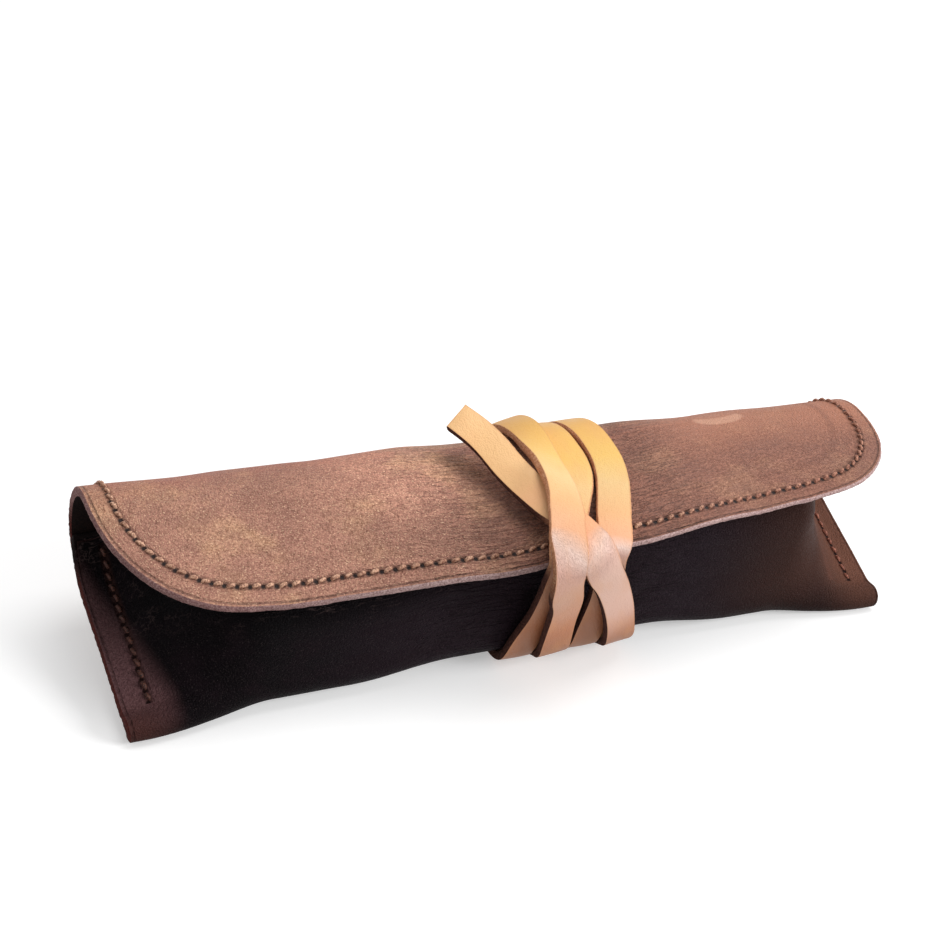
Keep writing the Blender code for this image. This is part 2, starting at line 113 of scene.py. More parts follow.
# The strap's way, in rows: turns round the waist, place along the case in strap widths, height in layers
strap_route_shares = (
    (0.02, -1.3, 0), (0.34, -1.3, 0), (0.36, -1.31, 0), (0.38, -1.36, 0), (0.4, -1.33, 0),
    (0.425, -1.26, 0), (0.45, -1.15, 0), (0.48, -1.06, 0), (0.52, -1.05, 0), (0.56, -1.1, 0),
    (0.6, -0.93, 0), (0.64, -0.5, 0), (0.666, -0.15, 0), (0.684, 0.1, 0), (0.713, 0.48, 0),
    (0.746, 0.77, 0), (0.78, 0.9, 0), (0.817, 0.92, 0), (0.86, 0.9, 0), (0.895, 0.88, 0),
    (0.92, 0.8, 0), (0.98, 0.4, 0), (1.04, -0.04, 0), (1.1, -0.24, 0), (1.36, -0.24, 0),
    (1.38, -0.3, 0.45), (1.4, -0.42, 0.95), (1.42, -0.51, 1.08), (1.44, -0.58, 1.1), (1.46, -0.64, 1.1),
    (1.485, -0.72, 1.22), (1.51, -0.82, 1.42), (1.535, -0.98, 1.68), (1.557, -1.19, 1.94), (1.573, -1.33, 2.14),
    (1.597, -1.18, 2.36), (1.612, -1.03, 2.42), (1.632, -0.84, 2.38), (1.662, -0.6, 2.2), (1.698, -0.43, 2.08),
    (1.73, -0.32, 1.8), (1.77, -0.16, 1.25), (1.8, -0.05, 0.86), (1.83, 0.01, 0.7), (1.86, 0.03, 0.66),
    (1.895, 0.05, 0.68), (1.92, 0.09, 0.78), (1.95, 0.2, 1.02), (2.03, 0.5, 1.1), (2.08, 0.78, 1),
    (2.12, 0.84, 0.6), (2.16, 0.84, 0), (2.36, 0.84, 0), (2.38, 0.84, 0), (2.4, 0.82, 0), (2.42, 0.79, 0),
    (2.46, 0.76, 0), (2.5, 0.7, 0), (2.54, 0.5, 0), (2.57, 0.36, 0), (2.6, 0.54, 0), (2.63, 0.79, 0),
    (2.667, 1.18, 0), (2.715, 1.66, 0), (2.766, 1.97, 0), (2.815, 2.05, 0), (2.85, 2.01, 0),
    (2.92, 1.96, 0), (3, 1.95, 0), (3.2, 1.94, 0), (3.36, 1.94, 0), (3.38, 1.88, 0.5), (3.4, 1.74, 0.95),
    (3.42, 1.58, 1.1), (3.44, 1.43, 1.12), (3.47, 1.18, 1.12), (3.515, 0.72, 1.15), (3.552, 0.27, 1.2),
    (3.568, -0.01, 1.2), (3.58, -0.2, 1.2), (3.6, -0.43, 1.2), (3.63, -0.68, 1.1), (3.66, -0.92, 1),
    (3.69, -1.07, 1), (3.74, -1.41, 1.4), (3.78, -1.7, 2.15), (3.808, -2.08, 2.75), (3.824, -2.42, 3.08),
)

# How the strap leans, in degrees, after a number of turns: minus shows its left side, plus its right
strap_lean = (
    (0, 0), (1.4, 0), (1.46, -8), (1.56, -6), (1.62, -7), (1.68, -18), (1.74, -20), (1.78, -8),
    (1.81, 4), (1.84, 12), (1.93, 12), (1.98, 0), (3.38, 0), (3.44, -12), (3.5, -10), (3.56, -5),
    (3.6, 0), (3.64, 4), (3.68, 10), (3.73, 18), (3.79, 28), (4, 28),
)

half_length = case_length / 2
sewn_thickness = 2 * leather + layer_gap
fin_fold_radius = sewn_thickness / 2 + fold_slack
pocket_roll_place = pocket_setback + pocket_fold_radius + underside_flat


def blend(a, b, share):
    return a + (b - a) * share


def joined(*lines):
    return np.stack(np.broadcast_arrays(*lines), -1)


def ease(share):
    share = np.clip(share, 0, 1)
    return share * share * (3 - 2 * share)


def fullness(x):
    """0 on the sewn fins, 1 where the pocket is round."""
    return float(ease((half_length - fin_width - abs(x)) / fin_rise_width))


def at_waist(x, flat, ramp):
    """1 beside the waist, 0 a ramp further on."""
    return float(ease((flat + ramp - abs(x - waist_place)) / ramp))


def lift(x):
    """How far the strap draws the underside off the table."""
    return waist_lift * at_waist(x, waist_flat, waist_ramp)


def fin_slope(x):
    return fin_slope_left if x < 0 else fin_slope_right


def flap_slope(x):
    return float(np.interp(x / half_length, *np.array(flap_slope_shares).T))


def roll_radius(x):
    """The pocket's roll at the back, drawn in at the waist by the strap."""
    return pocket_roll_radius - squeeze_depth * at_waist(x, squeeze_flat, squeeze_ramp)


def back_tables(x):
    slope, fall = fin_slope(x), flap_slope(x)
    fin_turn = fin_roll_radius * math.radians(180 + fall - slope)
    pocket_turn = roll_radius(x) * math.radians(180 + fall)
    fin = ((0, slope), (fin_straight, slope), (fin_straight + fin_turn, 180 + fall))
    pocket = ((0, 0), (underside_flat, 0), (underside_flat + pocket_turn, 180 + fall))
    return fin, pocket


def wall_slope(x):
    return max(flap_slope(x), least_wall_slope)


def wall_height(x):
    fall = math.radians(wall_slope(x))
    reach = pocket_roll_place - pocket_setback - shoulder_radius
    room = roll_radius(x) - leather - flap_clearance - shoulder_radius - reach * math.sin(fall)
    return room / math.cos(fall) + roll_radius(x) - pocket_fold_radius


def pinch_lengths():
    """Lengths to the end of a fin's fold, of its run, and to where it lies flat, and how far along that is."""
    turn = math.radians(pinch_turn)
    run = (2 * fin_fold_radius * math.cos(turn) - sewn_thickness) / math.sin(turn)
    fold_end = fin_fold_radius * (math.pi + turn)
    flat = fold_end + run + fin_fold_radius * turn
    return fold_end, fold_end + run, flat, 2 * fin_fold_radius * math.sin(turn) + run * math.cos(turn)


def front_tables(x):
    slope = fin_slope(x)
    fold_end, run_end, flat, along = pinch_lengths()
    rise = flat + fin_straight - along
    half_turn = (fin_roll_radius - sewn_thickness) * math.pi
    fin = ((0, 180 + slope), (fold_end, slope - pinch_turn), (run_end, slope - pinch_turn), (flat, slope),
           (rise, slope), (rise + half_turn, slope + 180))
    wall_start = pocket_fold_radius * math.pi / 2
    wall_end = wall_start + wall_height(x)
    shoulder = shoulder_radius * math.radians(90 - wall_slope(x))
    pocket = ((0, 180), (wall_start, 90), (wall_end, 90), (wall_end + shoulder, wall_slope(x)))
    return fin, pocket


def fold_point(x):
    full = fullness(x)
    radius = 1 / blend(1 / fin_fold_radius, 1 / pocket_fold_radius, full)
    slope = math.radians(blend(fin_slope(x), 0, full))
    y = pocket_setback * full + radius + radius * math.sin(slope)
    return y, lift(x) + radius - radius * math.cos(slope)


# The folded hide as a table: rows are lengths along the leather from the bottom fold, minus for the front panel,
# columns are stations along the case.
table_step = 0.0002
station_step = 0.0005
stations = np.linspace(-half_length, half_length, round(case_length / station_step) + 1)
spare_rows = 8
front_rows = round(front_length / table_step) + spare_rows
back_rows = round(back_length / table_step) + spare_rows


def turned(tables, lengths, full):
    fin, pocket = (np.interp(lengths, *np.array(table).T) for table in tables)
    return np.radians(blend(fin, pocket, full))


def folded_table():
    heights, depths, angles = (np.zeros((front_rows + back_rows + 1, len(stations))) for _ in range(3))
    for column, x in enumerate(stations):
        full = fullness(x)
        y, z = fold_point(x)
        for rows, tables, back in ((back_rows, back_tables(x), True), (front_rows, front_tables(x), False)):
            fine = np.arange(rows + 1) * table_step
            turn = turned(tables, fine[:-1] + table_step / 2, full)
            ys = y + np.concatenate([[0], np.cumsum(np.cos(turn))]) * table_step
            zs = z + np.concatenate([[0], np.cumsum(np.sin(turn))]) * table_step
            at = turned(tables, fine, full)
            if back:
                depths[front_rows:, column], heights[front_rows:, column] = ys, zs
                angles[front_rows:, column] = at
            else:
                depths[front_rows::-1, column], heights[front_rows::-1, column] = ys, zs
                angles[front_rows - 1::-1, column] = at[1:] - math.pi
    return depths, heights, angles


depth_table, height_table, angle_table = folded_table()
pouch_rows = front_rows + round(split_length / table_step)
frame_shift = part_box("pouch")[0].y - depth_table[:pouch_rows].min()


def looked_up(table, column, row):
    i = np.clip(column.astype(int), 0, table.shape[1] - 2)
    j = np.clip(row.astype(int), 0, table.shape[0] - 2)
    a, b = column - i, row - j
    return blend(blend(table[j, i], table[j, i + 1], a), blend(table[j + 1, i], table[j + 1, i + 1], a), b)


def on_hide(x, length):
    """Points on the folded hide's grain side, with the way along the leather and the way out."""
    x, length = np.broadcast_arrays(np.asarray(x, float), np.asarray(length, float))
    column = (x + half_length) / station_step
    row = length / table_step + front_rows
    y, z, angle = (looked_up(t, column, row) for t in (depth_table, height_table, angle_table))
    flare = np.sign(x) * end_flare * np.minimum(np.abs(length) / flare_reach, 1) * np.abs(x) / half_length
    points = joined(x + flare, y + frame_shift, z)
    along = joined(0, np.cos(angle), np.sin(angle))
    out = joined(0, np.sin(angle), -np.cos(angle))
    return points, along, out


# Finishes: short ways to build node trees
class Graph:
    """A node tree that is built by calls which give back sockets."""

    def __init__(self, tree):
        self.tree = tree

    def put(self, kind, inputs=(), **settings):
        made = self.tree.nodes.new(kind)
        for name, value in settings.items():
            setattr(made, name, value)
        for name, value in dict(inputs).items():
            self.feed(made.inputs[name], value)
        return made

    def feed(self, socket, value):
        if isinstance(value, bpy.types.NodeSocket):
            self.tree.links.new(value, socket)
        elif value is not None:
            socket.default_value = value

    def math(self, operation, *values):
        return self.put("ShaderNodeMath", dict(enumerate(values)), operation=operation).outputs[0]

    def times(self, first, *others):
        for other in others:
            first = self.math("MULTIPLY", first, other)
        return first

    def vector(self, operation, inputs):
        return self.put("ShaderNodeVectorMath", inputs, operation=operation).outputs[0]

    def plus(self, a, b):
        return self.math("ADD", a, b)

    def minus(self, a, b):
        return self.math("SUBTRACT", a, b)

    def away(self, value, middle):
        """How far a value is from a middle one."""
        return self.math("ABSOLUTE", self.minus(value, middle))

    def span(self, value, start, end, low=0, high=1, smooth=True):
        kind = "SMOOTHSTEP" if smooth else "LINEAR"
        inputs = {"Value": value, "From Min": start, "From Max": end, "To Min": low, "To Max": high}
        return self.put("ShaderNodeMapRange", inputs, interpolation_type=kind).outputs["Result"]

    def band(self, value, start, full, fade, end):
        """1 from full to fade, falling off to 0 on both sides."""
        return self.times(self.span(value, start, full), self.span(value, end, fade))

    def mix(self, share, a, b, way="MIX"):
        """a and b are sockets, or colours of three usual 0 to 255 values or of four linear ones."""
        made = self.put("ShaderNodeMix", data_type="RGBA", blend_type=way)
        a, b = (colour(*value) if isinstance(value, tuple) and len(value) == 3 else value for value in (a, b))
        for socket, value in zip((made.inputs[0], made.inputs[6], made.inputs[7]), (share, a, b)):
            self.feed(socket, value)
        return made.outputs[2]

    def tones(self, value, start, end, first, second):
        """One tone up to a start, another from an end on."""
        return self.mix(self.span(value, start, end), first, second)

    def coats(self, base, *layers):
        """The base under layers, each a tone that is as strong as its shares multiplied."""
        for tone, *shares in layers:
            base = self.mix(self.times(*shares), base, tone)
        return base

    def noises(self, place, scale, detail=2, roughness=0.5):
        inputs = {"Vector": place, "Scale": scale, "Detail": detail, "Roughness": roughness}
        return self.put("ShaderNodeTexNoise", inputs).outputs

    def noise(self, place, size, *rest):
        return self.noises(place, 1 / size, *rest)["Fac"]

    def stretched(self, place, sizes, turn=0):
        return self.put("ShaderNodeMapping", {"Vector": place, "Scale": sizes, "Rotation": (0, 0, turn)}).outputs[0]

    def use(self, tree, **inputs):
        """What a node group gives for its inputs."""
        return self.put("ShaderNodeGroup", inputs, node_tree=tree).outputs

    def parts(self, name):
        """An attribute's vector, and its three numbers."""
        vector = self.put("ShaderNodeAttribute", attribute_name=name).outputs["Vector"]
        split = self.put("ShaderNodeSeparateXYZ", {0: vector})
        return vector, *split.outputs[:3]


def group(name, inputs, outputs):
    made = bpy.data.node_groups.new(name, "ShaderNodeTree")
    for way, sockets in (("INPUT", inputs), ("OUTPUT", outputs)):
        for socket, kind in sockets.items():
            made.interface.new_socket(socket, in_out=way, socket_type="NodeSocket" + kind)
    graph = Graph(made)
    return graph, graph.put("NodeGroupInput").outputs, graph.put("NodeGroupOutput").inputs


def colour(red, green, blue):
    """A colour from the usual 0 to 255 values."""
    linear = [((v / 255 + 0.055) / 1.055) ** 2.4 if v > 10 else v / 255 / 12.92 for v in (red, green, blue)]
    return (*linear, 1)


def make_grain():
    """Pebbled leather grain with pores and painted glints, on a place along the hide."""
    g, given, taken = group("leather_grain", {"Place": "Vector", "Cell": "Float", "Fleck": "Float"},
                            {"Height": "Float", "Bright": "Float", "Pit": "Float"})
    scale = g.math("DIVIDE", 1, given["Cell"])

    def noises(place, share, *rest):
        return g.noises(place, g.times(scale, share), *rest)

    warp = noises(given["Place"], 0.6, 1)["Color"]
    shift = g.vector("SUBTRACT", {0: warp, 1: (0.5, 0.5, 0.5)})
    push = g.vector("SCALE", {0: shift, "Scale": given["Cell"]})
    place = g.vector("ADD", {0: given["Place"], 1: push})
    cells = g.put("ShaderNodeTexVoronoi", {"Vector": place, "Scale": scale}, voronoi_dimensions="2D")
    round_cell = g.span(cells.outputs["Distance"], 0.1, 0.75, 1, 0)
    fine = noises(place, 2.6, 3, 0.6)["Fac"]
    g.feed(taken["Height"], g.plus(g.times(round_cell, 0.6), g.times(fine, 0.5)))
    spark = noises(place, 1.35, 2.5, 0.62)["Fac"]
    # Painted glints: small bright flecks where the grain would catch the light
    g.feed(taken["Bright"], g.span(spark, g.minus(0.66, given["Fleck"]), 0.72))
    g.feed(taken["Pit"], g.times(g.span(spark, 0.47, 0.3), g.span(round_cell, 0.7, 0)))
    return g.tree


def make_wrinkles():
    """Fine creases that run along the case, where the hide was rolled."""
    g, given, taken = group("rolled_wrinkles", {"Place": "Vector"}, {"Height": "Float", "Line": "Float"})
    bent = g.noise(given["Place"], 0.011, 1)
    place = g.stretched(given["Place"], (0.16, 1, 1), 0.05)
    lowered = g.put("ShaderNodeCombineXYZ", {"Y": g.times(bent, 0.006)}).outputs[0]
    place = g.vector("ADD", {0: place, 1: lowered})
    ridge = g.away(g.noise(place, 0.0024, 2, 0.55), 0.5)
    g.feed(taken["Line"], g.span(ridge, 0, 0.045, 1, 0))
    g.feed(taken["Height"], g.span(ridge, 0, 0.12))
    return g.tree


grain, wrinkles = make_grain(), make_wrinkles()


def finish_named(name, roughness, specular):
    """The graph of a new material, which keeps the material and its shader's inputs."""
    made = bpy.data.materials.new(name)
    made.use_nodes = True
    g = Graph(made.node_tree)
    g.made, g.shader = made, made.node_tree.nodes["Principled BSDF"].inputs
    g.feed(g.shader["Roughness"], roughness)
    g.feed(g.shader["Specular IOR Level"], specular)
    return g


def finished(g, base, *layers, rough=None):
    """The graph's material with its colour, its layers of height and their depths in metres, and its roughness."""
    g.feed(g.shader["Base Color"], base)
    g.feed(g.shader["Roughness"], rough)
    normal = None
    for height, depth in layers:
        made = g.put("ShaderNodeBump", {"Height": height, "Distance": depth, "Strength": 1, "Normal": normal})
        normal = made.outputs[0]
    g.feed(g.shader["Normal"], normal)
    return g.made


def spot(g, x, length, at_x, at_length, wide, tall, outer=1.15, inner=0.75):
    """1 in an oval on the flat hide, falling off softly at its rim."""
    across = g.math("DIVIDE", g.minus(x, at_x), wide)
    along = g.math("DIVIDE", g.minus(length, at_length), tall)
    return g.span(g.plus(g.times(across, across), g.times(along, along)), outer, inner)


def grain_side(name, specular):
    """The hide's grain side: speckled brown on the flap, near black on the front panel, dark leather with painted
    shade from the flap over it.
    """
    g = finish_named(name, 0.5, specular)
    flat, x, length, edge = g.parts("flat")
    _, across, along, _ = g.parts("sewing")
    surface = g.use(grain, Place=flat, Cell=0.00055, Fleck=0.11)
    glint, pit, height = (surface[n] for n in ("Bright", "Pit", "Height"))
    folds = g.use(wrinkles, Place=flat)
    cloud = g.noise(flat, 0.026, 3, 0.6)
    patch = g.noise(g.stretched(flat, (1, 1.6, 1)), 0.01, 3, 0.6)
    speckle = g.noise(flat, 0.0009, 4, 0.75)

    # The brown of the flap and the roll, with painted shade, painted glints and painted light laid over it
    left = g.span(x, 0, -0.03)
    near_strap = g.span(g.away(x, waist_place), 0.018, 0.055, 1, 0)
    base = g.coats(
        g.mix(left, g.tones(speckle, 0.38, 0.64, (128, 85, 71), (172, 120, 101)),
              g.tones(speckle, 0.3, 0.62, (136, 92, 77), (190, 138, 118))),
        (g.tones(speckle, 0.34, 0.66, (160, 114, 84), (226, 178, 142)), g.span(cloud, 0.48, 0.66),
         g.plus(g.times(left, 0.5), 0.25)),
        ((124, 82, 70), g.span(patch, 0.6, 0.36, 0, 0.34)),
        (g.tones(speckle, 0.34, 0.66, (146, 84, 68), (200, 128, 104)), g.span(length, 0.078, 0.098, 1, 0),
         g.span(cloud, 0.62, 0.42), 0.62),
        ((168, 94, 78), g.span(x, -0.03, -0.07), g.band(length, 0.04, 0.075, 0.08, 0.1), 0.55),
        ((194, 132, 106), g.span(x, 0.03, 0.06), g.band(length, 0.04, 0.075, 0.092, 0.112), 0.65),
        # Painted shade beside the strap
        ((104, 76, 66), near_strap, 0.1),
        # Painted glints on the flap's grain
        ((238, 200, 166), glint, g.plus(g.times(left, 0.75), 0.15)),
        ((70, 44, 38), pit, g.plus(g.times(left, 0.5), 0.2)),
        # Painted shade in the rolled creases, stronger beside the strap
        ((66, 42, 36), folds["Line"], g.plus(g.times(near_strap, 0.34), 0.08)),
    )
    # Painted light: the flap left of the strap is lightened half again, against the strap's shadow from the side lamp
    base = g.mix(spot(g, x, length, -0.026, 0.095, 0.032, 0.026, 1, 0), base, (1.5, 1.5, 1.5, 1), "MULTIPLY")

    # The pale oval ring on the roll
    pale_ring = spot(g, x, length, 0.0655, 0.092, 0.008, 0.004)
    inner = spot(g, x, length, 0.0655, 0.0885, 0.008, 0.0036)
    base = g.coats(base, ((224, 172, 146), pale_ring, g.minus(1, g.times(inner, 0.8)), 0.6))

    # The front panel in painted shade from the flap, with painted light at the right end and on the left fin, and fine
    # rays below the flap
    front = g.span(length, 0.012, -0.004)
    upper = g.span(length, -0.004, -0.022, 0.25, 1)
    fin_line = g.math("MINIMUM", g.plus(g.times(length, 0.27), -0.0923), -0.0966)
    rays = g.noise(g.stretched(flat, (0.35, 1, 1), -0.5), 0.0022, 2, 0.55)
    black = g.coats(
        # Painted shade: the front panel near black, a little lighter towards the strap
        g.tones(g.away(x, waist_place), 0.08, 0.03, (12, 7, 10), (38, 28, 34)),
        ((30, 20, 25), g.span(patch, 0.42, 0.66, 0, 0.45)),
        # Painted light: paler brown towards the front panel's right end
        ((66, 43, 37), g.span(x, 0.04, 0.09), upper),
        ((112, 74, 60), g.span(x, 0.088, 0.106), upper),
        # Painted light on the left fin strip, out of the flap's shade
        (g.tones(speckle, 0.38, 0.62, (90, 62, 64), (108, 78, 79)), g.span(g.minus(fin_line, x), -0.002, 0.0045),
         g.span(length, -0.006, -0.018, 0.15, 1)),
        ((84, 50, 44), g.span(x, -0.094, -0.108), g.span(length, -0.022, -0.006), 0.6),
        # Painted glints on the front panel
        ((120, 104, 104), glint, 0.16),
        # Painted shade: near black just under the flap
        ((4, 2, 3), g.span(length, -0.05, -0.062, 0, 0.8)),
        ((3, 2, 3), g.span(length, -0.025, -0.038), g.span(x, -0.01, -0.05, 0, 0.8), g.span(x, -0.102, -0.095)),
        ((104, 86, 84), g.span(g.away(rays, 0.5), 0.03, 0), g.span(length, -0.026, -0.04), g.span(x, 0, -0.05),
         g.span(patch, 0.42, 0.62), 0.35),
    )

    # Creases beside the cut edge and the right seam, then painted shade in the stitches' groove and holes
    creased = g.band(edge, 0.0008, 0.0011, 0.0012, 0.0016)
    groove = g.span(g.math("ABSOLUTE", across), 0.0014, 0.0004)
    share = g.math("FRACT", g.math("DIVIDE", along, stitch_pitch))
    from_hole = g.times(g.minus(0.5, g.away(share, 0.5)), stitch_pitch)
    aside = g.minus(across, 0.0002)
    reach = g.math("SQRT", g.plus(g.times(from_hole, from_hole), g.times(aside, aside)))
    hole = g.span(reach, 0.0009, 0.0003)
    base = g.coats(
        base,
        (black, front),
        ((60, 38, 36), creased, 0.4),
        ((112, 72, 60), g.band(across, -0.0088, -0.0074, -0.0068, -0.0054), g.span(x, 0.05, 0.075), 0.3),
        # Painted shade in the stitches' groove and holes
        ((64, 40, 36), groove, 0.5),
        ((26, 12, 11), hole),
    )

    rough = g.plus(g.span(patch, 0.3, 0.7, 0.46, 0.6), g.times(pit, 0.2))
    sunk = g.minus(1, g.plus(g.times(groove, 0.5), g.times(hole, 0.5)))
    fold_depth = g.plus(g.times(near_strap, 0.00034), 0.00005)
    return finished(g, base, (speckle, 0.0001), (height, 0.00026), (folds["Height"], fold_depth), (sunk, 0.0006),
                    (g.minus(1, creased), 0.0003), rough=g.minus(rough, g.times(front, 0.04)))


def fibrous(name, dark, light, more=None):
    """A rough material of fibres. more(g, base, fine) lays further tones over its colour."""
    g = finish_named(name, 0.9, 0.15)
    place = g.put("ShaderNodeTexCoord").outputs["Object"]
    fine = g.noise(place, 0.00045, 4, 0.7)
    broad = g.noise(place, 0.006)
    base = g.coats(g.tones(fine, 0.35, 0.65, dark, light), (dark, g.span(broad, 0.4, 0.65, 0, 0.35)))
    return finished(g, more(g, base, fine) if more else base, (fine, 0.0004))


def hide_edge_tones(g, base, fine):
    """Dull mauve at the flap's left end, pale pink from there on, reddish brown on the pouch, and near black painted
    shade under the flap at the front panel's top edge.
    """
    _, x, length, _ = g.parts("flat")
    return g.coats(
        base,
        (g.tones(fine, 0.35, 0.65, (150, 116, 113), (214, 184, 180)), g.span(x, -0.085, -0.04)),
        (g.tones(fine, 0.35, 0.65, (58, 25, 23), (104, 48, 42)), g.span(length, 0.075, 0.062)),
        ((22, 12, 12), g.span(length, -0.05, -0.06)),
    )


def strap_turn(g):
    return g.put("ShaderNodeAttribute", attribute_name="turn").outputs["Fac"]


def strap_edge_tones(g, base, fine):
    """Painted light makes the cut edge orange on top; painted shade makes it dark brown low down and below the free
    end.
    """
    turn, across = strap_turn(g), g.parts("flat")[2]
    # Painted shade: dark brown low on each turn and below the free end
    low = g.tones(fine, 0.35, 0.65, (54, 30, 26), (98, 62, 52))
    return g.coats(base, (low, g.span(g.math("FRACT", turn), 0.59, 0.56)),
                   (low, g.span(turn, 3.62, 3.66), g.span(across, 0.0005, -0.0005)))


def strap_tone(g, turn):
    """The strap's colour round each turn, painted light and shade: golden where the top is lit, a painted pink
    highlight where it bends over the flap's edge, darker tan in shade below.
    """
    stops = (
        (0, (212, 156, 104)), (0.22, (186, 130, 98)), (0.38, (176, 120, 90)), (0.45, (194, 127, 90)),
        (0.5, (213, 153, 120)), (0.562, (213, 163, 136)), (0.578, (213, 168, 152)), (0.588, (232, 200, 186)),
        (0.602, (236, 176, 136)), (0.64, (240, 186, 132)), (0.7, (238, 200, 140)), (0.76, (240, 194, 108)),
        (0.84, (234, 180, 96)), (0.93, (220, 164, 102)), (1, (212, 156, 104)),
    )
    share = g.math("FRACT", turn)
    return g.coats(stops[0][1], *((tone, g.span(share, start, end, smooth=False))
                                  for (start, _), (end, tone) in zip(stops, stops[1:])))


def strap_leather():
    """Smooth vegetable-tanned leather, finely creased where it bends hard."""
    g = finish_named("tan_strap_leather", 0.4, 0.3)
    flat, _, _, edge = g.parts("flat")
    turn = strap_turn(g)
    surface = g.use(grain, Place=flat, Cell=0.00045, Fleck=0.04)
    broad = g.noise(g.stretched(flat, (1, 2, 1)), 0.012, 3)
    outer = g.plus(g.math("LESS_THAN", turn, 2), g.math("GREATER_THAN", turn, 3))
    bend = g.times(g.band(g.math("FRACT", turn), 0.565, 0.58, 0.592, 0.606), outer)
    creases = g.noise(g.stretched(flat, (1, 0.45, 1), 0.5), 0.0009, 2, 0.6)
    crease = g.span(g.away(creases, 0.5), 0.05, 0)
    base = g.coats(
        strap_tone(g, turn),
        # Painted highlight where the last turn bends over the flap's edge
        ((250, 214, 200), g.band(turn, 3.4, 3.48, 3.56, 3.6), 0.55),
        (g.tones(turn, 3.66, 3.72, (250, 184, 138), (246, 196, 138)), g.span(turn, 3.64, 3.7)),
        ((232, 170, 120), g.span(broad, 0.45, 0.72, 0, 0.22)),
        ((176, 116, 84), surface["Pit"], 0.22),
        ((206, 140, 92), g.span(edge, 0.0008, 0.0002, 0, 0.55)),
        # Painted shade in the creases at the bend
        ((160, 116, 102), crease, bend, 0.2),
    )
    bent = g.noise(g.stretched(flat, (1, 0.35, 1)), 0.0011)
    return finished(g, base, (surface["Height"], 0.00006), (bent, 0.0001), (crease, g.times(bend, -0.00005)),
                    rough=g.minus(g.span(broad, 0.35, 0.65, 0.36, 0.48), g.times(bend, 0.12)))


def thread_finish(name, dark, light):
    """Waxed thread, redder towards the right."""
    g = finish_named(name, 0.55, 0.3)
    place = g.put("ShaderNodeTexCoord").outputs["Object"]
    fine = g.noise(place, 0.0005, 3, 0.7)
    broad = g.noise(place, 0.008, 1)
    x = g.put("ShaderNodeSeparateXYZ", {0: place}).outputs["X"]
    base = g.coats(
        g.tones(fine, 0.35, 0.62, dark, light),
        (dark, g.span(broad, 0.45, 0.65, 0, 0.4)),
        (g.tones(fine, 0.35, 0.62, (96, 48, 38), (176, 112, 92)), g.span(x, 0.01, 0.06, 0, 0.65)),
    )
    return finished(g, base, (fine, 0.0002))


hide_finishes = [
    grain_side("brown_grain_leather", 0.22),
    fibrous("mauve_cut_edge", (118, 82, 80), (184, 146, 142), hide_edge_tones),
    # The flesh side: dark brown leather darkened near black with painted shade, as inside the pocket
    fibrous("brown_flesh_side", (16, 9, 8), (36, 22, 19)),
    grain_side("front_leather_painted_shade", 0.035),
]
strap_finishes = [
    strap_leather(),
    # The strap's cut edge in pale orange tones: painted light on its sides
    fibrous("rough_strap_edge", (196, 122, 84), (250, 198, 156), strap_edge_tones),
    fibrous("strap_flesh_side", (150, 104, 76), (200, 152, 116)),
]
copper_thread = thread_finish("copper_thread", (132, 84, 66), (232, 186, 156))
seam_thread = thread_finish("reddish_seam_thread", (96, 50, 40), (188, 116, 90))
# The left seam's thread: a darker copy of the seam thread, painted shade
seam_thread_in_painted_shade = thread_finish("seam_thread_in_painted_shade", (40, 23, 21), (100, 60, 48))


# Sheets of leather: cut flat, laid in place, given their thickness, and rounded at the cut edge
rim_rounding = 0.0004
strap_rim = 0.0003
edge_roughness = 0.0002
hide_edge_grain = 0.0011
strap_edge_grain = 0.0009
smooth_angle = 45
hair = 1e-6  # a place on the cut this near 0 or 1 is on its rim
cell = 0.0008
pouch_cell = 0.00088
front_finish = 3
pouch_dents, flap_dents = 0.00025, 0.0003
skive_reach = 0.01
# How much of its thickness the flap loses towards its cut edge, as a share, at places along the case
skive_shares = ((-0.085, 0), (-0.045, 0), (0, 0.2), (0.03, 0.4), (0.11, 0.45))


def unit(vectors):
    return vectors / np.linalg.norm(vectors, axis=-1, keepdims=True)


def read(mesh, label, width=3):
    values = np.empty(len(mesh.vertices) * width, np.float32)
    mesh.attributes[label].data.foreach_get("value" if width == 1 else "vector", values)
    return values.reshape(-1, width) if width > 1 else values


def divide(mesh, chosen, cuts):
    """Cuts the edges whose ends chosen(a, b) picks into shorter ones."""
    bpy.ops.object.mode_set(mode="EDIT")
    bpy.ops.mesh.select_all(action="DESELECT")
    bpy.ops.object.mode_set(mode="OBJECT")
    for edge in mesh.edges:
        edge.select = chosen(*edge.vertices)
    bpy.ops.object.mode_set(mode="EDIT")
    bpy.ops.mesh.select_mode(type="EDGE")
    bpy.ops.mesh.subdivide(number_cuts=cuts)
    bpy.ops.object.mode_set(mode="OBJECT")


